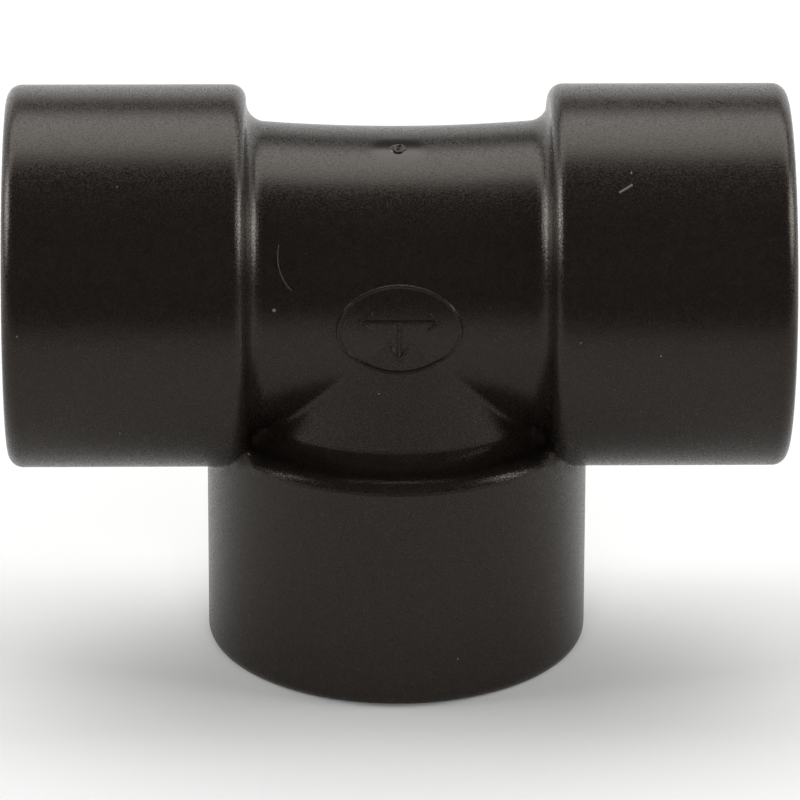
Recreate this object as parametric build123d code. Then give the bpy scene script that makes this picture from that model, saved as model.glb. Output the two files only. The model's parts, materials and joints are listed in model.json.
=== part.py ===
from build123d import *
import os
from math import cos, pi, radians, sin, tan

# An equal tee for threaded pipe, moulded in one piece of plastic. Millimetres.
# The run lies along X, the branch points down along -Z, and the marked side faces -Y.
# The origin is the centre of the branch mouth, which the tee stands on.
#
# Each of the three legs is described in its own frame: its Z axis is the leg's axis,
# measured from the crossing of the axes towards the leg's mouth.

os.makedirs("parts", exist_ok=True)

# --- outside ---------------------------------------------------------------------------
CENTRE_TO_END = 47.2       # crossing of the axes to each mouth face
COLLAR_RADIUS = 23.2       # outside of the three socket collars
RUN_SHOULDER = 18.3        # crossing to the inner shoulder of each run collar
BRANCH_SHOULDER = 17.7     # crossing to the inner shoulder of the branch collar
WAIST_RADIUS = 18.1        # barrel and neck at the crossing
FLARE_RADIUS = 18.7        # barrel and neck where the shoulder fillets begin
SHOULDER_FILLET = 2.4      # concave, barrel to shoulder
COLLAR_ROUND = 1.8         # convex, on both edges of a collar

# --- inside ----------------------------------------------------------------------------
WATERWAY_RADIUS = 13.0
PILOT_RADIUS = 14.3        # plain bore behind the thread
CHAMFER_RADIUS = 17.6      # mouth chamfer at the face
CHAMFER_DEPTH = 1.1
THREAD_DEPTH = 17.0        # end of the thread, from the mouth face
RUN_OUT_DEPTH = 18.0       # end of the cone that closes the last groove
STOP_DEPTH = 22.0          # stop shoulder, where the waterway begins

# --- tapered pipe thread, 1 inch, 11.5 turns per inch --------------------------------
PITCH = 25.4 / 11.5
HALF_TAPER = 1.0 / 32.0    # radius lost for each millimetre of depth
PITCH_RADIUS = 15.73       # at the mouth face
CREST_FLAT = 0.22
ROOT_FLAT = 0.22
FLANK_ANGLE = 30.0
THREAD_START = 1.35        # first ridge edge, from the mouth face
RIDGE_CLEARANCE = 0.02     # keeps the ridge's region off the root cone's region

# --- moulded marks -----------------------------------------------------------------------
MARK_WIDTH = 15.1
MARK_HEIGHT = 11.1
MARK_DROP = 0.1            # centre of the oval below the run axis
MARK_LINE = 0.45           # width of each raised line
MARK_RELIEF = 0.2          # how far the lines stand out
ARROW_HALF_LENGTH = 4.9
ARROW_STEM = 4.8
ARROW_BARB = 1.5           # length of a barb along its arrow
BARB_SPREAD = 1.0          # how far a barb's end stands off its arrow
GATE_RADIUS = 1.1
GATE_RELIEF = 0.3
GATE_PIT_RADIUS = 0.5
GATE_TILT = 12.5           # degrees from straight up towards the marked side

# --- where the moulding is divided into its regions ----------------------------------------
# Past this station a leg is a plain collar, clear of the other legs.
REGION_STATION = COLLAR_RADIUS + 1.3
REACH = 3 * CENTRE_TO_END  # larger than the tee, for the shapes that cut it
FROM_BASE = (Align.CENTER, Align.CENTER, Align.MIN)  # a cylinder's base at its origin

CROSSING = Vector(0, 0, CENTRE_TO_END)
LEGS = {
    "left": Plane(origin=CROSSING, x_dir=(0, 0, 1), z_dir=(-1, 0, 0)),
    "right": Plane(origin=CROSSING, x_dir=(0, 0, 1), z_dir=(1, 0, 0)),
    "branch": Plane(origin=CROSSING, x_dir=(1, 0, 0), z_dir=(0, 0, -1)),
}


def quarter_arc(centre, radius, start_deg, end_deg):
    """An arc of a leg's profile, about a centre given as (radius, station)."""
    angles = [start_deg, (start_deg + end_deg) / 2, end_deg]
    points = [
        (centre[0] + radius * cos(radians(a)), centre[1] + radius * sin(radians(a)))
        for a in angles
    ]
    return ThreePointArc(*points)


def turned(edges):
    """The solid that a closed profile of (radius, station) makes about the leg's axis."""
    profile = Plane.XZ * make_face(edges)
    return revolve(profile, Axis.Z)


def leg_outside(shoulder, extra=0.0):
    """One leg's outside as a solid of revolution, its barrel or neck thickened by extra."""
    waist = WAIST_RADIUS + extra
    flare = FLARE_RADIUS + extra
    fillet_start = shoulder - SHOULDER_FILLET
    round_start = CENTRE_TO_END - COLLAR_ROUND
    shoulder_top = COLLAR_RADIUS - COLLAR_ROUND
    # The barrel's side is a shallow arc, level at the crossing.
    waist_quarter = waist + (flare - waist) / 4
    side = ThreePointArc(
        (waist, 0), (waist_quarter, fillet_start / 2), (flare, fillet_start)
    )
    edges = [
        Line((0, 0), (waist, 0)),
        side,
        quarter_arc((flare + SHOULDER_FILLET, fillet_start), SHOULDER_FILLET, 180, 90),
        Line((flare + SHOULDER_FILLET, shoulder), (shoulder_top, shoulder)),
        quarter_arc((shoulder_top, shoulder + COLLAR_ROUND), COLLAR_ROUND, -90, 0),
        Line((COLLAR_RADIUS, shoulder + COLLAR_ROUND), (COLLAR_RADIUS, round_start)),
        quarter_arc((shoulder_top, round_start), COLLAR_ROUND, 0, 90),
        Line((shoulder_top, CENTRE_TO_END), (0, CENTRE_TO_END)),
        Line((0, CENTRE_TO_END), (0, 0)),
    ]
    return turned(edges)


def tee_outside(extra=0.0):
    """The outside of the whole tee as one solid, before it is divided into regions."""
    run_leg = leg_outside(RUN_SHOULDER, extra)
    branch_leg = leg_outside(BRANCH_SHOULDER, extra)
    run = LEGS["left"].location * run_leg + LEGS["right"].location * run_leg
    return run + LEGS["branch"].location * branch_leg


def thread_half_height():
    """Half the height of the ridge, from its flats and the flank angle."""
    flank_width = (PITCH - CREST_FLAT - ROOT_FLAT) / 2
    return flank_width / tan(radians(FLANK_ANGLE)) / 2


def root_radius(depth):
    return PITCH_RADIUS + thread_half_height() - HALF_TAPER * depth


def crest_radius(depth):
    return PITCH_RADIUS - thread_half_height() - HALF_TAPER * depth


def socket():
    """The plain part of a collar with its socket: chamfer, thread root cone, pilot and stop."""
    mouth = CENTRE_TO_END
    round_start = mouth - COLLAR_ROUND
    shoulder_top = COLLAR_RADIUS - COLLAR_ROUND
    outline = [
        (shoulder_top, mouth),
        (CHAMFER_RADIUS, mouth),
        (root_radius(CHAMFER_DEPTH), mouth - CHAMFER_DEPTH),
        (root_radius(THREAD_DEPTH), mouth - THREAD_DEPTH),
        (PILOT_RADIUS, mouth - RUN_OUT_DEPTH),
        (PILOT_RADIUS, mouth - STOP_DEPTH),
        (WATERWAY_RADIUS, mouth - STOP_DEPTH),
        (WATERWAY_RADIUS, REGION_STATION),
        (COLLAR_RADIUS, REGION_STATION),
        (COLLAR_RADIUS, round_start),
    ]
    edges = [Polyline(*outline), quarter_arc((shoulder_top, round_start), COLLAR_ROUND, 0, 90)]
    return turned(edges)


def ridge_base_radius(depth):
    return root_radius(depth) - RIDGE_CLEARANCE


def helix_edge(radius_at, station, height):
    """A conical helix about the leg's axis from a station towards the mouth."""
    depth = CENTRE_TO_END - station
    return Edge.make_helix(
        pitch=PITCH,
        height=height,
        radius=radius_at(depth),
        center=(0, 0, station),
        normal=(0, 0, 1),
        angle=HALF_TAPER * 180 / pi,
    )


def thread():
    """The ridge of one female thread, which lies on the socket's root cone."""
    base_half = (PITCH - ROOT_FLAT) / 2
    crest_half = CREST_FLAT / 2
    first = CENTRE_TO_END - THREAD_DEPTH + base_half
    height = CENTRE_TO_END - THREAD_START - base_half - first
    corners = [
        helix_edge(ridge_base_radius, first - base_half, height),
        helix_edge(crest_radius, first - crest_half, height),
        helix_edge(crest_radius, first + crest_half, height),
        helix_edge(ridge_base_radius, first + base_half, height),
    ]
    sides = [
        Face.make_surface_from_curves(corners[i], corners[(i + 1) % 4]) for i in range(4)
    ]
    ends = [make_face(Polyline(*[edge @ t for edge in corners], close=True)) for t in (0, 1)]
    return Solid(Shell(sides + [end.faces()[0] for end in ends]))


def block(low, high):
    """A box between two corners."""
    size = Vector(*high) - Vector(*low)
    middle = (Vector(*high) + Vector(*low)) / 2
    return Location(middle) * Box(size.X, size.Y, size.Z)


def centre_regions():
    """The run barrel and the branch neck: the hollow middle, parted along its mitre planes."""
    outside = tee_outside()
    waterway = Cylinder(WATERWAY_RADIUS, REACH)
    branch_way = Cylinder(WATERWAY_RADIUS, REACH, align=FROM_BASE)
    hollow = (
        outside
        - LEGS["right"].location * waterway
        - LEGS["branch"].location * branch_way
    )
    middle = hollow & block(
        (-REGION_STATION, -REACH, CENTRE_TO_END - REGION_STATION),
        (REGION_STATION, REACH, REACH),
    )
    below = Polyline(
        (0, CENTRE_TO_END),
        (-REACH, CENTRE_TO_END - REACH),
        (REACH, CENTRE_TO_END - REACH),
        close=True,
    )
    wedge = extrude(Plane.XZ * make_face(below), amount=REACH, both=True)
    return middle - wedge, middle & wedge


def bar(x0, z0, x1, z1):
    """A straight line of the mark, as a flat rectangle between two points seen from the front."""
    start = Vector(x0, z0)
    end = Vector(x1, z1)
    along = (end - start).normalized()
    across = Vector(-along.Y, along.X) * (MARK_LINE / 2)
    return make_face(
        Polyline(start + across, end + across, end - across, start - across, close=True)
    )


def mark_outline():
    """An oval line around a generic flow sign: arrows to both run mouths and to the branch."""
    level = MARK_HEIGHT / 10
    tip = ARROW_HALF_LENGTH
    foot = level - ARROW_STEM
    oval = Ellipse(MARK_WIDTH / 2, MARK_HEIGHT / 2) - Ellipse(
        MARK_WIDTH / 2 - MARK_LINE, MARK_HEIGHT / 2 - MARK_LINE
    )
    sign = bar(-tip, level, tip, level) + bar(0, level, 0, foot)
    for side in (-1, 1):
        for turn in (-1, 1):
            barb_end = level + turn * BARB_SPREAD
            sign += bar(side * tip, level, side * (tip - ARROW_BARB), barb_end)
        sign += bar(0, foot, side * BARB_SPREAD, foot + ARROW_BARB)
    return oval, sign


def raised_marks():
    """The oval mark's lines, standing out from the barrel and neck by MARK_RELIEF."""
    front = Plane(
        origin=(0, 0, CENTRE_TO_END - MARK_DROP), x_dir=(1, 0, 0), z_dir=(0, -1, 0)
    )
    skin = tee_outside(MARK_RELIEF)
    core = tee_outside()
    pieces = []
    for outline in mark_outline():
        prism = front * extrude(outline, amount=COLLAR_RADIUS)
        pieces.append((prism & skin) - core)
    return Compound([solid for piece in pieces for solid in piece.solids()])


def gate_vestige():
    """The stub left where the moulding was filled, low, round and pitted in the middle."""
    up = Vector(0, -sin(radians(GATE_TILT)), cos(radians(GATE_TILT)))
    axis = Plane(origin=CROSSING, x_dir=(1, 0, 0), z_dir=up)
    stub = Cylinder(GATE_RADIUS, WAIST_RADIUS + GATE_RELIEF, align=FROM_BASE)
    pit_floor = WAIST_RADIUS + GATE_RELIEF / 2
    pit = Location((0, 0, pit_floor)) * Cylinder(GATE_PIT_RADIUS, REACH, align=FROM_BASE)
    return axis.location * (stub - pit) - tee_outside()


def write(name, shape):
    """Writes one node and prints its volume."""
    solids = shape.solids()
    part = solids[0] if len(solids) == 1 else Compound(solids)
    export_step(part, f"parts/{name}.step")
    print(name, len(solids), round(part.volume, 1), part.is_valid)


run_barrel, branch_neck = centre_regions()
write("run_barrel", run_barrel)
write("branch_neck", branch_neck)
for leg_name, leg_plane in LEGS.items():
    write(f"{leg_name}_socket", leg_plane.location * socket())
    write(f"{leg_name}_thread", leg_plane.location * thread())
write("oval_mark", raised_marks())
write("gate_vestige", gate_vestige())
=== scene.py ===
import json
import math

import bmesh
import bpy
import numpy as np
from mathutils import Matrix, Vector


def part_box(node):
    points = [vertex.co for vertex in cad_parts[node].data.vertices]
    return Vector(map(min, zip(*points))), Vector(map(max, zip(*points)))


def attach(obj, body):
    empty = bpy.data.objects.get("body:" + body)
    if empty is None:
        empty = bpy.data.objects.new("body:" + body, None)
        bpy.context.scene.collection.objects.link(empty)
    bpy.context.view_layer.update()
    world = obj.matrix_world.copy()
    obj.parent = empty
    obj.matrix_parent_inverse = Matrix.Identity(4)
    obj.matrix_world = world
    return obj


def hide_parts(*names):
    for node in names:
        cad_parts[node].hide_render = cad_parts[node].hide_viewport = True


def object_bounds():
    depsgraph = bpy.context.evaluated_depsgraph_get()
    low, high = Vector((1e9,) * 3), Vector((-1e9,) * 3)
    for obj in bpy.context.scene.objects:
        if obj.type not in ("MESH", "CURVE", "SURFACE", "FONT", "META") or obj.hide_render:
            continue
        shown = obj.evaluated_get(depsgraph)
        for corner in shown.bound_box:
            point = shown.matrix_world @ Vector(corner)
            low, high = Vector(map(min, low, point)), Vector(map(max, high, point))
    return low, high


# A black moulded pipe tee. Shapes are worked out in millimetres about the crossing of the
# axes, with H pointing down along the branch, and turned into metres when a mesh is made.

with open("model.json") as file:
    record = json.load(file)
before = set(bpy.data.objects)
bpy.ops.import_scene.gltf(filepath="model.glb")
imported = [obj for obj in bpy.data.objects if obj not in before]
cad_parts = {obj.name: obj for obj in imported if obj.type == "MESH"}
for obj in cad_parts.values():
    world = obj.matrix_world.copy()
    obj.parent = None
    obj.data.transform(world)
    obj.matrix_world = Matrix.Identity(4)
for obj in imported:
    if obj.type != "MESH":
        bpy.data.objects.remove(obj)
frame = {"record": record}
cad_low, cad_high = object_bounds()

MM = 0.001
MOUNTS = {m["name"]: m for m in frame["record"]["mounts"]}

# --- sizes from the frame, millimetres -----------------------------------------------------
CROSSING = Vector((0.0, 0.0, MOUNTS["right_socket_bore"]["pos_m"][2]))
CENTRE_TO_END = cad_high.x / MM
COLLAR_RADIUS = cad_high.y / MM
REGION_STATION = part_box("run_barrel")[1].x / MM
PILOT_RADIUS = MOUNTS["right_socket_bore"]["dims"]["r_mm"]
STOP_DEPTH = (
    CENTRE_TO_END
    - MOUNTS["right_socket_bore"]["pos_m"][0] / MM
    + MOUNTS["right_socket_bore"]["dims"]["length_mm"] / 2
)

# --- outside shape -------------------------------------------------------------------------
RUN_SHOULDER = 18.3
BRANCH_SHOULDER = 17.7
WAIST_RADIUS = 18.1
FLARE_RADIUS = 18.7
SHOULDER_FILLET = 2.4
COLLAR_ROUND = 1.8
CROTCH_FILLET = 1.2
WATERWAY_RADIUS = 13.0
WATERWAY_ROUND = 0.35

# --- sockets -------------------------------------------------------------------------------
CHAMFER_RADIUS = 17.6
LIP_ROUND = 0.2
THREAD_DEPTH = 17.0
RUN_OUT_DEPTH = 18.0
PITCH = 25.4 / 11.5
HALF_TAPER = 1.0 / 32.0
PITCH_RADIUS = 15.73
THREAD_HALF_HEIGHT = 0.766
CREST_FLAT = 0.22
ROOT_FLAT = 0.22
THREAD_CORNER = 0.03      # share of a pitch that rounds each corner of the ridge
RUN_OUT_SLOPE = 1.7
SOCKET_SEGMENTS = 224     # round the bore
LIP_STEPS = 4
FACE_STEPS = 6
ROUND_STEPS = 12
WALL_STEPS = 24
SHARP_ANGLE = 40.0        # degrees between faces that makes their edge a sharp one

# --- mesh of the middle -----------------------------------------------------------------------
NET_STEP = 0.4
NET_ROUNDS = 4            # of evening out
NORMAL_REACH = 0.2        # over which the shading normals are taken
FLAT_CUT_COSINE = 0.7     # below this a corner is shaded as the flat cut it lies on

# --- moulded marks ---------------------------------------------------------------------------
MARK_WIDTH = 15.1
MARK_HEIGHT = 11.1
MARK_DROP = 0.1
MARK_LINE = 0.45
MARK_FOOT = 0.38
MARK_RELIEF = 0.19
MARK_SINK = 0.08
MARK_STEP = 0.065
ARROW_HALF_LENGTH = 4.9
ARROW_LEVEL = MARK_HEIGHT / 10
ARROW_STEM = 4.8
ARROW_BARB = 1.5
BARB_SPREAD = 1.0
GATE_TILT = math.radians(12.5)
GATE_RADIUS = 1.02
GATE_RELIEF = 0.2
GATE_PAD_RADIUS = 3.8
GATE_PAD_RISE = 0.05
GATE_SEGMENTS = 96
GATE_WOBBLE = 0.05        # share of the radius
GATE_TEAR = 0.35          # share of the height
GATE_ROUGHNESS = 0.012
# the stub's section from the pit outwards, as (share of the radius, share of the height)
GATE_SECTION = [
    (0.07, 0.95), (0.15, 0.85), (0.23, 0.45), (0.33, 0.0), (0.45, 0.3), (0.56, 0.84),
    (0.67, 1.0), (0.78, 0.92), (0.88, 0.62), (0.97, 0.2), (1.05, -0.15), (1.12, -0.9),
    (1.12, -1.6),
]
GATE_RAISED = 0.3         # above this share of the height the section is torn and rough


# ============================================================================================
# The outside and inside of the tee as distance functions
# ============================================================================================

def round_union(a, b, radius):
    """Joins two distances with a concave fillet of about that radius."""
    u = np.maximum(radius - a, 0.0)
    v = np.maximum(radius - b, 0.0)
    return np.maximum(radius, np.minimum(a, b)) - np.hypot(u, v)


def leg_distance(station, rho, shoulder):
    """Distance to one leg's outside: waisted barrel, concave fillet, rounded collar."""
    span = shoulder - SHOULDER_FILLET
    inner = np.minimum(np.abs(station), span) / span
    waist = WAIST_RADIUS + (FLARE_RADIUS - WAIST_RADIUS) * inner**2
    barrel = rho - waist
    a = shoulder - station + COLLAR_ROUND
    b = rho - COLLAR_RADIUS + COLLAR_ROUND
    outside = np.hypot(np.maximum(a, 0.0), np.maximum(b, 0.0))
    collar = outside + np.minimum(np.maximum(a, b), 0.0) - COLLAR_ROUND
    return round_union(barrel, collar, SHOULDER_FILLET)


def leg_slope(station, rho, shoulder):
    """The leg's distance and its slope along the station and the radius."""
    e = 1e-3
    value = leg_distance(station, rho, shoulder)
    ds = (leg_distance(station + e, rho, shoulder) - value) / e
    dr = (leg_distance(station, rho + e, shoulder) - value) / e
    size = np.maximum(np.hypot(ds, dr), 1e-6)
    return value, ds / size, dr / size


def outside_distance(p):
    """Distance to the tee's outside, with a fillet in every crease between run and branch."""
    x, y, h = p[:, 0], p[:, 1], p[:, 2]
    run_rho = np.maximum(np.hypot(y, h), 1e-6)
    branch_rho = np.maximum(np.hypot(x, y), 1e-6)
    run, run_ds, run_dr = leg_slope(np.abs(x), run_rho, RUN_SHOULDER)
    branch, branch_ds, branch_dr = leg_slope(np.abs(h), branch_rho, BRANCH_SHOULDER)
    branch = np.maximum(branch, -h)
    # The fillet shrinks where the two surfaces are nearly tangent, as on the front.
    cosine = (
        run_ds * np.sign(x) * branch_dr * x / branch_rho
        + run_dr * y / run_rho * branch_dr * y / branch_rho
        + run_dr * h / run_rho * branch_ds * np.sign(h)
    )
    half_cosine = np.sqrt(np.clip((1.0 + cosine) / 2.0, 0.0, 1.0))
    radius = CROTCH_FILLET * (1.0 - half_cosine) / (1.0 - math.sqrt(0.5))
    return round_union(run, branch, np.maximum(radius, 1e-4))


def inside_distance(p):
    """Distance to the waterway, negative in the water."""
    x, y, h = p[:, 0], p[:, 1], p[:, 2]
    run = np.hypot(y, h) - WATERWAY_RADIUS
    branch = np.maximum(np.hypot(x, y) - WATERWAY_RADIUS, -h)
    return round_union(run, branch, WATERWAY_ROUND)


def middle_distance(p):
    """Distance to the plastic of the hollow middle."""
    return np.maximum(outside_distance(p), -inside_distance(p))


def slope_of(function, p, e=2e-3):
    """The gradient of a distance, by central differences over e to each side."""
    columns = []
    for axis in range(3):
        step = np.zeros(3)
        step[axis] = e
        columns.append(function(p + step) - function(p - step))
    return np.stack(columns, axis=1) / (2 * e)


def settled(function, p, rounds=5):
    """The points moved onto the surface where a distance is nought."""
    p = p.copy()
    for _ in range(rounds):
        grad = slope_of(function, p)
        p -= (function(p) / np.maximum((grad**2).sum(1), 1e-6))[:, None] * grad
    return p


# ============================================================================================
# Mesh helpers
# ============================================================================================

def to_frame(p):
    """Millimetres about the crossing, H down, as metres in the row frame."""
    out = np.empty_like(p)
    out[:, 0] = p[:, 0] * MM
    out[:, 1] = p[:, 1] * MM
    out[:, 2] = CROSSING.z - p[:, 2] * MM
    return out


def new_piece(name, points, faces, material, *nodes):
    """A mesh piece from points in metres, which takes the place of the CAD nodes named."""
    mesh = bpy.data.meshes.new(name)
    mesh.from_pydata([tuple(q) for q in points], [], faces)
    mesh.validate()
    mesh.materials.append(material)
    piece = bpy.data.objects.new(name, mesh)
    bpy.context.scene.collection.objects.link(piece)
    mesh.shade_smooth()
    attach(piece, "root")
    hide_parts(*nodes)
    return piece


def outward(piece):
    """Turns every face of a closed piece outwards."""
    bm = bmesh.new()
    bm.from_mesh(piece.data)
    bmesh.ops.recalc_face_normals(bm, faces=bm.faces[:])
    bm.to_mesh(piece.data)
    bm.free()


def surface_net(function, low, high, step):
    """A quad mesh of the surface where function is nought, one vertex in each cell it crosses."""
    counts = [int(round((b - a) / step)) + 1 for a, b in zip(low, high)]
    axes = [low[i] + step * np.arange(counts[i]) for i in range(3)]
    grid = np.stack(np.meshgrid(*axes, indexing="ij"), axis=-1)
    inside = (function(grid.reshape(-1, 3)) < 0).reshape(counts)
    corners = np.zeros([n - 1 for n in counts], int)
    for i in (0, 1):
        for j in (0, 1):
            for k in (0, 1):
                corners += inside[
                    i:counts[0] - 1 + i, j:counts[1] - 1 + j, k:counts[2] - 1 + k
                ]
    active = (corners > 0) & (corners < 8)
    index = np.full(active.shape, -1)
    index[active] = np.arange(active.sum())
    cells = np.argwhere(active)
    points = np.array(low) + (cells + 0.5) * step
    faces = []
    for axis in range(3):
        u, v = (axis + 1) % 3, (axis + 2) % 3
        here = np.moveaxis(inside, (axis, u, v), (0, 1, 2))
        cell = np.moveaxis(index, (axis, u, v), (0, 1, 2))
        leaving = here[:-1, 1:-1, 1:-1] & ~here[1:, 1:-1, 1:-1]
        entering = ~here[:-1, 1:-1, 1:-1] & here[1:, 1:-1, 1:-1]
        around = [cell[:, :-1, :-1], cell[:, 1:, :-1], cell[:, 1:, 1:], cell[:, :-1, 1:]]
        for mask, order in ((leaving, (0, 1, 2, 3)), (entering, (3, 2, 1, 0))):
            faces.append(np.stack([around[q][mask] for q in order], axis=1))
    return points, np.concatenate(faces)


def relaxed(function, points, faces, rounds):
    """Evens out a mesh's quads while its points stay on the surface."""
    edges = np.concatenate([faces[:, [i, (i + 1) % 4]] for i in range(4)])
    points = settled(function, points)
    for _ in range(rounds):
        total = np.zeros_like(points)
        count = np.zeros(len(points))
        for a, b in ((0, 1), (1, 0)):
            np.add.at(total, edges[:, a], points[edges[:, b]])
            np.add.at(count, edges[:, a], 1)
        middle = total / np.maximum(count, 1)[:, None]
        points = settled(function, points + 0.5 * (middle - points), rounds=2)
    return settled(function, points, rounds=3)


def gate_axis():
    """The direction from the crossing to the gate, in (x, y, h)."""
    return np.array([0.0, -math.sin(GATE_TILT), -math.cos(GATE_TILT)])


def pad(points):
    """How far the low polished pad round the gate lifts each point of the barrel's top."""
    along = points @ gate_axis()
    off = np.linalg.norm(points - along[:, None] * gate_axis(), axis=1)
    share = np.clip(1.0 - (off / GATE_PAD_RADIUS) ** 2, 0.0, 1.0)
    return np.where(along > 0.8 * WAIST_RADIUS, GATE_PAD_RISE * share**2, 0.0)


def padded_distance(p):
    return middle_distance(p) - pad(p)


def trimmed_middle(points, faces):
    """The mesh cut square at the three region planes, with each cut closed by a flat ring."""
    bm = bmesh.new()
    verts = [bm.verts.new(q) for q in points]
    for f in faces:
        bm.faces.new([verts[i] for i in f])
    for direction in ((1, 0, 0), (-1, 0, 0), (0, 0, 1)):
        normal = Vector(direction)
        bmesh.ops.bisect_plane(
            bm,
            geom=bm.verts[:] + bm.edges[:] + bm.faces[:],
            plane_co=normal * REGION_STATION,
            plane_no=normal,
            clear_outer=True,
            dist=1e-4,
        )
        rim = [
            e for e in bm.edges
            if e.is_boundary and abs(e.verts[0].co.dot(normal) - REGION_STATION) < 1e-3
            and abs(e.verts[1].co.dot(normal) - REGION_STATION) < 1e-3
        ]
        bmesh.ops.bridge_loops(bm, edges=rim)
    bmesh.ops.recalc_face_normals(bm, faces=bm.faces[:])
    bm.verts.index_update()
    out_points = np.array([v.co[:] for v in bm.verts])
    out_faces = [[v.index for v in f.verts] for f in bm.faces]
    bm.free()
    return out_points, out_faces


def exact_normals(piece, function):
    """Gives each corner the surface's own normal, except on the flat cuts."""
    mesh = piece.data
    points = np.empty(len(mesh.vertices) * 3)
    mesh.vertices.foreach_get("co", points)
    points = points.reshape(-1, 3)
    local = np.stack(
        [points[:, 0] / MM, points[:, 1] / MM, (CROSSING.z - points[:, 2]) / MM], axis=1
    )
    grad = slope_of(function, local, NORMAL_REACH)
    grad /= np.maximum(np.linalg.norm(grad, axis=1), 1e-9)[:, None]
    grad[:, 2] *= -1
    normals = []
    for polygon in mesh.polygons:
        flat = polygon.normal
        for vertex in polygon.vertices:
            normal = Vector(grad[vertex])
            normals.append(normal if normal.dot(flat) > FLAT_CUT_COSINE else flat.copy())
    mesh.normals_split_custom_set([tuple(n) for n in normals])


# ============================================================================================
# Pieces
# ============================================================================================

def middle_piece(material):
    """Run barrel and branch neck: one hollow middle, with every crease filleted."""
    reach = REGION_STATION + 2 * NET_STEP
    side = COLLAR_RADIUS + 2 * NET_STEP
    low = [-reach, -side, -side]
    high = [reach, side, reach]
    points, faces = surface_net(middle_distance, low, high, NET_STEP)
    points = relaxed(middle_distance, points, faces, rounds=NET_ROUNDS)
    points = settled(padded_distance, points, rounds=3)
    points, faces = trimmed_middle(points, faces)
    piece = new_piece(
        "tee_middle", to_frame(points), faces, material, "run_barrel", "branch_neck"
    )
    exact_normals(piece, padded_distance)


def thread_rows():
    """Across one pitch: (phase, share of the ridge's height), crest at 0, rounded corners."""
    crest = CREST_FLAT / PITCH / 2
    root = ROOT_FLAT / PITCH / 2
    rows = [(0.0, 1.0), (crest, 0.985), (crest + THREAD_CORNER, 0.9)]
    rows += [(0.25, 0.5)]
    rows += [(0.5 - root - THREAD_CORNER, 0.1), (0.5 - root, 0.015), (0.5, 0.0)]
    back = [(1.0 - phase, height) for phase, height in reversed(rows[1:-1])]
    return rows + back


def socket_radius(depth, height):
    """The socket wall's radius at a depth, with the thread cut by the chamfer and run-out."""
    radius = PITCH_RADIUS - HALF_TAPER * depth + THREAD_HALF_HEIGHT * (1 - 2 * height)
    chamfer = CHAMFER_RADIUS - depth
    run_out = PILOT_RADIUS + (RUN_OUT_DEPTH - depth) * RUN_OUT_SLOPE
    return np.minimum(np.maximum(radius, chamfer), run_out)


def socket_mesh():
    """One socket as a closed mesh of (radius, station, angle) points about its leg's axis."""
    n = SOCKET_SEGMENTS
    angles = 2 * math.pi * np.arange(n) / n
    points, faces = [], []

    # the threaded wall, whose rows follow the helix
    rows = thread_rows()
    turns = int(math.ceil((RUN_OUT_DEPTH - LIP_ROUND) / PITCH)) + 1
    table = [(turn + phase, height) for turn in range(turns + 1) for phase, height in rows]
    for i in range(n + 1):
        for place, height in table:
            depth = LIP_ROUND + PITCH * (place - i / n)
            depth = min(max(depth, LIP_ROUND), RUN_OUT_DEPTH)
            radius = float(socket_radius(depth, height))
            angle = angles[i % n]
            points.append((radius, CENTRE_TO_END - depth, angle))
    width = len(table)
    for i in range(n):
        for j in range(width - 1):
            a = i * width + j
            faces.append((a, a + width, a + width + 1, a + 1))

    # the turned rest, from the mouth end of that wall round to its deep end
    outline = [(CHAMFER_RADIUS - LIP_ROUND, CENTRE_TO_END - LIP_ROUND)]
    lip_end = CHAMFER_RADIUS + LIP_ROUND * math.sqrt(2)
    for k in range(1, LIP_STEPS + 1):
        t = k / LIP_STEPS
        radius = (
            (1 - t) ** 2 * (CHAMFER_RADIUS - LIP_ROUND)
            + 2 * t * (1 - t) * CHAMFER_RADIUS
            + t**2 * lip_end
        )
        outline.append((radius, CENTRE_TO_END - (1 - t) ** 2 * LIP_ROUND))
    flat_end = COLLAR_RADIUS - COLLAR_ROUND
    for k in range(1, FACE_STEPS + 1):
        outline.append((lip_end + (flat_end - lip_end) * k / FACE_STEPS, CENTRE_TO_END))
    top = CENTRE_TO_END - COLLAR_ROUND
    for k in range(1, ROUND_STEPS + 1):
        t = math.radians(90 * k / ROUND_STEPS)
        outline.append((flat_end + COLLAR_ROUND * math.sin(t), top + COLLAR_ROUND * math.cos(t)))
    for k in range(1, WALL_STEPS + 1):
        outline.append((COLLAR_RADIUS, top + (REGION_STATION - top) * k / WALL_STEPS))
    outline.append((WATERWAY_RADIUS, REGION_STATION))
    outline.append((WATERWAY_RADIUS, CENTRE_TO_END - STOP_DEPTH))
    outline.append((PILOT_RADIUS, CENTRE_TO_END - STOP_DEPTH))
    outline.append((PILOT_RADIUS, CENTRE_TO_END - RUN_OUT_DEPTH))
    first = len(points)
    for radius, station in outline:
        for angle in angles:
            points.append((radius, station, angle))
    for k in range(len(outline) - 1):
        for i in range(n):
            a = first + k * n + i
            b = first + k * n + (i + 1) % n
            faces.append((a, b, b + n, a + n))
    return np.array(points), faces


def welded(points, faces):
    """Merges points that coincide and drops the faces that this closes up."""
    keys = np.round(points, 5)
    _, first, back = np.unique(keys, axis=0, return_index=True, return_inverse=True)
    back = back.reshape(-1)
    out = []
    for face in faces:
        ring = []
        for q in face:
            k = int(back[q])
            if k not in ring:
                ring.append(k)
        if len(ring) >= 3:
            out.append(ring)
    return points[first], out


def leg_axes(leg):
    """The leg's direction and two directions across it, in (x, y, h)."""
    along = {"left": (-1, 0, 0), "right": (1, 0, 0), "branch": (0, 0, 1)}[leg]
    across = (0, 0, -1) if leg != "branch" else (1, 0, 0)
    along, across = np.array(along, float), np.array(across, float)
    return along, across, np.cross(across, along)


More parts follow.
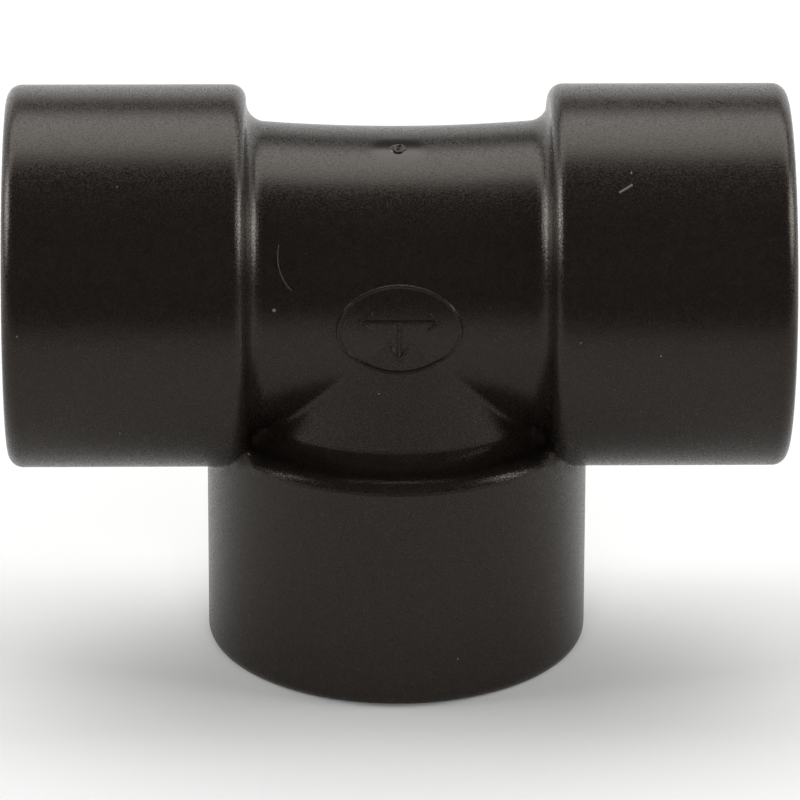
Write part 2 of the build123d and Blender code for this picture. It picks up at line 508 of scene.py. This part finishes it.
def socket_piece(leg, material):
    """A leg's collar with its threaded socket."""
    polar, faces = socket_mesh()
    along, across, other = leg_axes(leg)
    radius, station, angle = polar[:, 0], polar[:, 1], polar[:, 2]
    points = (
        station[:, None] * along
        + (radius * np.cos(angle))[:, None] * across
        + (radius * np.sin(angle))[:, None] * other
    )
    points, faces = welded(points, faces)
    piece = new_piece(
        f"{leg}_socket_wall", to_frame(points), faces, material,
        f"{leg}_socket", f"{leg}_thread",
    )
    outward(piece)
    piece.data.set_sharp_from_angle(angle=math.radians(SHARP_ANGLE))


def front_point(x, h, lift):
    """The point of the front at x and h, stood off along the surface's own normal."""
    p = np.stack([x, np.full_like(x, -WAIST_RADIUS), h], axis=1)
    for _ in range(8):
        value = outside_distance(p)
        step = np.zeros_like(p)
        step[:, 1] = 1e-3
        slope = (outside_distance(p + step) - value) / 1e-3
        p[:, 1] -= value / np.minimum(slope, -0.2)
    normal = slope_of(outside_distance, p)
    return p + lift[:, None] * normal


def mark_distance(x, up):
    """How far each (x, up) is from the mark's nearest line: an oval round a flow sign."""
    wide, tall = (MARK_WIDTH - MARK_LINE) / 2, (MARK_HEIGHT - MARK_LINE) / 2
    oval = (x / wide) ** 2 + (up / tall) ** 2 - 1
    slope = 2 * np.hypot(x / wide**2, up / tall**2)
    best = np.abs(oval) / np.maximum(slope, 1e-6)
    tip, level, foot = ARROW_HALF_LENGTH, ARROW_LEVEL, ARROW_LEVEL - ARROW_STEM
    lines = [((-tip, level), (tip, level)), ((0, level), (0, foot))]
    for side in (-1, 1):
        for turn in (-1, 1):
            barb = (side * (tip - ARROW_BARB), level + turn * BARB_SPREAD)
            lines.append(((side * tip, level), barb))
        lines.append(((0, foot), (side * BARB_SPREAD, foot + ARROW_BARB)))
    for (x0, up0), (x1, up1) in lines:
        dx, dup = x1 - x0, up1 - up0
        share = ((x - x0) * dx + (up - up0) * dup) / (dx**2 + dup**2)
        share = np.clip(share, 0.0, 1.0)
        best = np.minimum(best, np.hypot(x - x0 - share * dx, up - up0 - share * dup))
    return best


def oval_mark_piece(material):
    """The mark's raised lines as one sheet, rounded on top and bedded into the barrel."""
    reach_x = int(MARK_WIDTH / 2 / MARK_STEP) + 8
    reach_up = int(MARK_HEIGHT / 2 / MARK_STEP) + 8
    x, up = np.meshgrid(
        MARK_STEP * np.arange(-reach_x, reach_x + 1),
        MARK_STEP * np.arange(-reach_up, reach_up + 1),
        indexing="ij",
    )
    share = np.clip(1.0 - mark_distance(x, up) / MARK_FOOT, 0.0, 1.0)
    lift = (MARK_RELIEF + MARK_SINK) * share**2 * (3 - 2 * share) - MARK_SINK
    raised = share > 0
    cells = raised[:-1, :-1] | raised[1:, :-1] | raised[:-1, 1:] | raised[1:, 1:]
    used = np.zeros_like(raised)
    for i in (0, 1):
        for j in (0, 1):
            used[i:used.shape[0] - 1 + i, j:used.shape[1] - 1 + j] |= cells
    count = int(used.sum())
    index = np.full(used.shape, -1)
    index[used] = np.arange(count)
    top = front_point(x[used], MARK_DROP - up[used], lift[used])
    under = front_point(x[used], MARK_DROP - up[used], np.full(count, -2 * MARK_SINK))
    quads = [
        (index[i, j], index[i + 1, j], index[i + 1, j + 1], index[i, j + 1])
        for i, j in np.argwhere(cells)
    ]
    faces = [tuple(int(q) for q in quad) for quad in quads]
    ways = {(quad[k], quad[(k + 1) % 4]) for quad in faces for k in range(4)}
    walls = [(b, a, a + count, b + count) for a, b in ways if (b, a) not in ways]
    faces += [tuple(q + count for q in reversed(quad)) for quad in faces] + sorted(walls)
    piece = new_piece(
        "moulded_mark", to_frame(np.concatenate([top, under])), faces, material, "oval_mark"
    )
    outward(piece)


def gate_piece(material):
    """The stub of the filling gate: a torn ring round a shiny nub, bedded in its pad."""
    rng = np.random.default_rng(12)
    around = GATE_SEGMENTS
    angles = 2 * math.pi * np.arange(around) / around
    wobble = np.zeros(around)
    tear = np.zeros(around)
    for k in range(2, 9):
        wobble += rng.normal() * np.cos(k * angles + rng.uniform(0, 6.3)) / k
        tear += rng.normal() * np.cos(k * angles + rng.uniform(0, 6.3)) / k
    wobble *= GATE_WOBBLE / max(np.abs(wobble).max(), 1e-6)
    tear *= GATE_TEAR / max(np.abs(tear).max(), 1e-6)
    up = gate_axis()
    across = np.array([1.0, 0.0, 0.0])
    other = np.cross(up, across)
    points = []
    for share, height in GATE_SECTION:
        rim = GATE_RADIUS * share * (1 + wobble * share)
        raised = height > GATE_RAISED
        lift = GATE_RELIEF * height * (1 + tear * raised)
        lift = lift + GATE_ROUGHNESS * rng.normal(size=around) * raised
        sideways = rim * np.cos(angles)
        along = rim * np.sin(angles)
        foot = sideways[:, None] * across + along[:, None] * other
        skin = np.sqrt(WAIST_RADIUS**2 - along**2) + GATE_PAD_RISE
        points.append(foot + (skin + lift)[:, None] * up)
    rows = len(GATE_SECTION)
    faces = []
    for k in range(rows - 1):
        for i in range(around):
            j = (i + 1) % around
            a, b = k * around + i, k * around + j
            faces.append((a, b, b + around, a + around))
    points = np.concatenate(points)
    middle = points[:around].mean(0) + 0.01 * up
    under = points[-around:].mean(0)
    points = np.concatenate([points, [middle, under]])
    middle_index, under_index = len(points) - 2, len(points) - 1
    last = (rows - 1) * around
    for i in range(around):
        j = (i + 1) % around
        faces.append((j, i, middle_index))
        faces.append((last + i, last + j, under_index))
    piece = new_piece("gate_stub", to_frame(points), faces, material, "gate_vestige")
    outward(piece)


# ============================================================================================
# Materials
# ============================================================================================

# colours and marks, in metres where they are lengths
GRAIN_SCALE = 5600.0
PATCH_SCALE = 0.85 * GRAIN_SCALE
WAVE_HEIGHT = 0.00002
GRAIN_HEIGHT = 0.000022
DARK_TONE = (0.0096, 0.0073, 0.0058, 1)
LIGHT_TONE = (0.0130, 0.0099, 0.0079, 1)
MARK_TONE = (0.17, 0.16, 0.145, 1)
SPECULAR_TONE = (1.0, 0.9, 0.81, 1)
ROUGHNESS_RANGE = (0.12, 0.4)
POLISHED_RADIUS = 0.0024
POLISHED_ROUGHNESS = 0.19
DUST_SCALE = 420.0
DUST_CHOSEN = (0.955, 0.96)
DUST_SIZE = (0.035, 0.055)
SCRATCH_STRENGTH = 0.45
SCRATCH_CENTRE = (-0.00915, 0.0560)
SCRATCH_RADIUS = 0.0053
SCRATCH_EDGE = -0.0129
SCRATCH_TOP = 0.0572
# (x, z, radius) of the pale nicks on the marked side, of which a short row makes one streak
NICKS = [(-0.0149, 0.0499, 0.00026), (0.0275, 0.0656, 0.00014)]
NICKS += [(0.0261 + 0.0002 * k, 0.0639 + 0.00009 * k, 0.00014) for k in range(8)]



class Nodes:
    """A material's node tree with a few short calls."""

    def __init__(self, name):
        self.material = bpy.data.materials.new(name)
        self.material.use_nodes = True
        self.tree = self.material.node_tree
        self.tree.nodes.clear()

    def add(self, kind, inputs=None, **settings):
        node = self.tree.nodes.new(kind)
        for key, value in settings.items():
            setattr(node, key, value)
        for key, value in (inputs or {}).items():
            socket = node.inputs[key]
            if isinstance(value, bpy.types.NodeSocket):
                self.tree.links.new(value, socket)
            else:
                socket.default_value = value
        return node

    def noise(self, place, scale, detail, roughness):
        inputs = {"Vector": place, "Scale": scale, "Detail": detail, "Roughness": roughness}
        return self.add("ShaderNodeTexNoise", inputs).outputs["Fac"]

    def ramp(self, value, low, high, start, end):
        inputs = {"Value": value, "From Min": low, "From Max": high, "To Min": start, "To Max": end}
        return self.add("ShaderNodeMapRange", inputs).outputs[0]

    def maths(self, operation, a, b):
        return self.add("ShaderNodeMath", {0: a, 1: b}, operation=operation).outputs[0]

    def split(self, colour):
        return self.add("ShaderNodeSeparateColor", {0: colour}).outputs[0]

    def blend(self, share, first, second):
        node = self.add("ShaderNodeMix", {0: share, 6: first, 7: second}, data_type="RGBA")
        return node.outputs[2]

    def away_from(self, place, point):
        """The distance of each place from a point."""
        inputs = {0: place, 1: tuple(point)}
        return self.add("ShaderNodeVectorMath", inputs, operation="DISTANCE").outputs["Value"]

    def away_in_front(self, place, point):
        """The distance from a point of (x, z), seen along Y, and very far off the marked side."""
        flat = self.add("ShaderNodeVectorMath", {0: place, 1: (1, 0, 1)}, operation="MULTIPLY")
        off = self.away_from(flat.outputs[0], (point[0], 0, point[1]))
        side = self.add("ShaderNodeSeparateXYZ", {0: place}).outputs[1]
        behind = self.maths("GREATER_THAN", side, -0.01)
        return self.maths("ADD", off, behind)

    def scratch(self, place):
        """A fine curved line: part of a circle's rim, seen along Y, on the marked side only."""
        off = self.away_in_front(place, SCRATCH_CENTRE)
        gap = self.maths("ABSOLUTE", self.maths("SUBTRACT", off, SCRATCH_RADIUS), 0.0)
        line = self.ramp(gap, 0.00002, 0.00007, 1.0, 0.0)
        part = self.add("ShaderNodeSeparateXYZ", {0: place}).outputs
        left = self.ramp(part[0], SCRATCH_EDGE, SCRATCH_EDGE + 0.0002, 1.0, 0.0)
        high = self.maths("LESS_THAN", part[2], SCRATCH_TOP)
        return self.maths("MULTIPLY", self.maths("MULTIPLY", line, left), high)

    def bump(self, height, distance, normal):
        inputs = {"Height": height, "Strength": 1.0, "Distance": distance}
        if normal is not None:
            inputs["Normal"] = normal
        return self.add("ShaderNodeBump", inputs).outputs[0]


def plastic_material():
    """Satin black moulded plastic: fine mould grain, warm cast, dust and handling marks."""
    n = Nodes("black_moulded_plastic")
    place = n.add("ShaderNodeTexCoord").outputs["Object"]
    # the mould is polished smooth in a small disc round the gate
    gate = np.array([0.0, 0.0, CROSSING.z]) + WAIST_RADIUS * MM * gate_axis() * (1, 1, -1)
    rough_share = n.ramp(
        n.away_from(place, gate), POLISHED_RADIUS, GATE_PAD_RADIUS * MM, 0.0, 1.0
    )
    grain = n.noise(place, GRAIN_SCALE, 2.0, 0.6)
    patch = n.noise(place, PATCH_SCALE, 1.0, 0.5)
    wave = n.noise(place, 150.0, 2.0, 0.5)
    blotch = n.noise(place, 800.0, 4.0, 0.65)
    tone = n.ramp(blotch, 0.3, 0.7, 0.0, 1.0)
    colour = n.blend(tone, DARK_TONE, LIGHT_TONE)
    # sparse pale dust, where a cell's own random value is high and its middle is near
    inputs = {"Vector": place, "Scale": DUST_SCALE, "Randomness": 1.0}
    cells = n.add("ShaderNodeTexVoronoi", inputs)
    near = n.ramp(cells.outputs["Distance"], *DUST_SIZE, 1.0, 0.0)
    chosen = n.ramp(n.split(cells.outputs["Color"]), *DUST_CHOSEN, 0.0, 1.0)
    dust = n.maths("MULTIPLY", near, chosen)
    # a few nicks and one long curved scratch on the marked side
    marks = n.maths("MAXIMUM", dust, n.maths("MULTIPLY", n.scratch(place), SCRATCH_STRENGTH))
    for x, z, radius in NICKS:
        nick = n.ramp(n.away_in_front(place, (x, z)), radius / 2, radius, 1.0, 0.0)
        marks = n.maths("MAXIMUM", marks, nick)
    marked = n.blend(marks, colour, MARK_TONE)
    rough = n.ramp(patch, 0.36, 0.64, *ROUGHNESS_RANGE)
    polished = n.ramp(rough_share, 0.0, 1.0, POLISHED_ROUGHNESS, 0.0)
    rough = n.maths("ADD", n.maths("MULTIPLY", rough, rough_share), polished)
    bump = n.bump(wave, WAVE_HEIGHT, None)
    bump = n.bump(grain, n.maths("MULTIPLY", rough_share, GRAIN_HEIGHT), bump)
    shader = n.add(
        "ShaderNodeBsdfPrincipled",
        {
            "Base Color": marked,
            "Roughness": rough,
            "Normal": bump,
            "IOR": 1.49,
            "Specular Tint": SPECULAR_TONE,
        },
    )
    n.add("ShaderNodeOutputMaterial", {"Surface": shader.outputs[0]})
    return n.material


PAPER_TONE = (0.86, 0.86, 0.855, 1)
FRONT_SHADE = 0.55                     # share of the paper's tone that its gloss image keeps: painted shade
FRONT_SHADE_DEPTHS = (-0.06, 0.14)     # Y from which and to which the shade fades out


def floor_material():
    """Pale matt paper, see-through from below so that the underside can be looked at and lit.

    In the plastic's gloss the paper in front is darkened, as painted shade standing in for a shaded
    table edge.
    """
    n = Nodes("pale_floor")
    place = n.add("ShaderNodeTexCoord").outputs["Object"]
    depth = n.add("ShaderNodeSeparateXYZ", {0: place}).outputs[1]
    # painted shade: towards the front the paper is darker, but only as seen in gloss
    shade = n.ramp(depth, *FRONT_SHADE_DEPTHS, FRONT_SHADE, 1.0)
    glossy = n.add("ShaderNodeLightPath").outputs["Is Glossy Ray"]
    level = n.maths("ADD", n.maths("MULTIPLY", n.maths("SUBTRACT", shade, 1.0), glossy), 1.0)
    colour = n.blend(level, (0, 0, 0, 1), PAPER_TONE)
    paper = n.add(
        "ShaderNodeBsdfPrincipled", {"Base Color": colour, "Roughness": 0.9, "IOR": 1.3}
    )
    clear = n.add("ShaderNodeBsdfTransparent")
    below = n.add("ShaderNodeNewGeometry").outputs["Backfacing"]
    shadow = n.add("ShaderNodeLightPath").outputs["Is Shadow Ray"]
    below = n.maths("MAXIMUM", below, shadow)
    mix = n.add("ShaderNodeMixShader", {0: below, 1: paper.outputs[0], 2: clear.outputs[0]})
    n.add("ShaderNodeOutputMaterial", {"Surface": mix.outputs[0]})
    return n.material


# ============================================================================================
# Stage, light and camera
# ============================================================================================

def sheet(name, points, faces, material):
    """A piece of the stage, which isn't part of the object."""
    mesh = bpy.data.meshes.new(name)
    mesh.from_pydata(points, [], faces)
    mesh.materials.append(material)
    made = bpy.data.objects.new(name, mesh)
    bpy.context.scene.collection.objects.link(made)
    return made


def floor_strip(name, near, far, material):
    """Level floor between two depths."""
    side = FLOOR_REACH
    corners = [(-side, near, 0), (side, near, 0), (side, far, 0), (-side, far, 0)]
    return sheet(name, corners, [(0, 1, 2, 3)], material)


def panel(name, place, target, width, height, radiance, glossy=True):
    """A soft panel that faces a point. Radiance is what it looks like, with 1 as white."""
    light = bpy.data.lights.new(name, "AREA")
    light.shape = "RECTANGLE"
    light.size = width
    light.size_y = height
    light.energy = radiance * math.pi * width * height
    lamp = bpy.data.objects.new(name, light)
    bpy.context.scene.collection.objects.link(lamp)
    lamp.location = place
    lamp.rotation_mode = "QUATERNION"
    lamp.rotation_quaternion = (Vector(target) - Vector(place)).to_track_quat("-Z", "Y")
    lamp.visible_camera = False
    lamp.visible_glossy = glossy
    return lamp


BACKDROP_RADIUS = 1.6
BACKDROP_HEIGHT = 0.86
BACKDROP_ENDS = (-10, 190)       # degrees, from +X towards +Y
FLOOR_REACH = 4.0
FLOOR_EDGE = -0.225              # the floor nearer the front than this isn't seen in gloss
WORLD_STRENGTH = 0.035
WORLD_SEEN_STRENGTH = 0.8


def make_stage():
    """A pale floor, a low curved backdrop, and five soft panels."""
    paper = floor_material()
    floor_strip("floor", FLOOR_EDGE, FLOOR_REACH, paper)
    front = floor_strip("floor_front", -FLOOR_REACH, FLOOR_EDGE, paper)
    front.visible_glossy = False
    first, last = BACKDROP_ENDS
    turns = [math.radians(a) for a in range(first, last + 1, 5)]
    points, faces = [], []
    for i, turn in enumerate(turns):
        x, y = BACKDROP_RADIUS * math.cos(turn), BACKDROP_RADIUS * math.sin(turn)
        points += [(x, y, 0), (x, y, BACKDROP_HEIGHT)]
        if i:
            faces.append((2 * i - 2, 2 * i - 1, 2 * i + 1, 2 * i))
    sheet("backdrop", points, faces, paper)
    world = bpy.data.worlds.new("studio")
    world.use_nodes = True
    tree = world.node_tree
    background = tree.nodes["Background"]
    background.inputs["Color"].default_value = (1.0, 1.0, 1.0, 1)
    # a dim room, but pale where a view looks past the stage
    straight = tree.nodes.new("ShaderNodeLightPath").outputs["Is Camera Ray"]
    strength = tree.nodes.new("ShaderNodeMapRange")
    strength.inputs["To Min"].default_value = WORLD_STRENGTH
    strength.inputs["To Max"].default_value = WORLD_SEEN_STRENGTH
    tree.links.new(straight, strength.inputs["Value"])
    tree.links.new(strength.outputs[0], background.inputs["Strength"])
    bpy.context.scene.world = world
    panel("overhead", (0, 0.63, 1.2), (0, 0.63, 0), 2.4, 1.0, 2.55)
    panel("side_left", (-0.95, 0.0, 0.52), (0, 0, 0.06), 0.6, 0.5, 5.6)
    panel("side_right", (0.95, -0.1, 0.52), (0, 0, 0.06), 0.6, 0.5, 5.6)
    under = panel("under_mouth", (0, 0, -0.12), (0, 0, 0), 0.02, 0.02, 26.0, glossy=False)
    under.data.spread = math.radians(12)
    panel("front_fill", (0, -1.5, 0.75), (0, 0, 0.05), 0.9, 0.6, 6.0, glossy=False)


CAMERA_DISTANCE = 0.8254
CAMERA_ELEVATION = 21.25
CAMERA_TURN = -0.88
CAMERA_YAW = 0.026
CAMERA_PITCH = -1.054
CAMERA_ROLL = 0.161
CAMERA_LENS = 305.9


def make_camera():
    """A camera aimed at the crossing, then yawed, pitched and rolled to the product view."""
    e, turn = math.radians(CAMERA_ELEVATION), math.radians(CAMERA_TURN)
    yaw, pitch, roll = (math.radians(a) for a in (CAMERA_YAW, CAMERA_PITCH, CAMERA_ROLL))
    back = Vector((math.sin(turn) * math.cos(e), -math.cos(turn) * math.cos(e), math.sin(e)))
    ahead = -back
    right = ahead.cross(Vector((0, 0, 1))).normalized()
    up = right.cross(ahead)
    ahead, right = (
        ahead * math.cos(yaw) + right * math.sin(yaw),
        right * math.cos(yaw) - ahead * math.sin(yaw),
    )
    ahead, up = (
        ahead * math.cos(pitch) + up * math.sin(pitch),
        up * math.cos(pitch) - ahead * math.sin(pitch),
    )
    right, up = (
        right * math.cos(roll) + up * math.sin(roll),
        up * math.cos(roll) - right * math.sin(roll),
    )
    data = bpy.data.cameras.new("camera")
    data.sensor_width = 36.0
    data.lens = CAMERA_LENS
    data.clip_start = 0.05
    data.clip_end = 20.0
    camera = bpy.data.objects.new("camera", data)
    bpy.context.scene.collection.objects.link(camera)
    place = CROSSING + back * CAMERA_DISTANCE
    turned = Matrix((right, up, -ahead)).transposed().to_4x4()
    camera.matrix_world = Matrix.Translation(place) @ turned
    bpy.context.scene.camera = camera


plastic = plastic_material()
middle_piece(plastic)
for leg_name in ("left", "right", "branch"):
    socket_piece(leg_name, plastic)
oval_mark_piece(plastic)
gate_piece(plastic)
make_stage()
make_camera()
bpy.context.scene.view_settings.view_transform = "Standard"
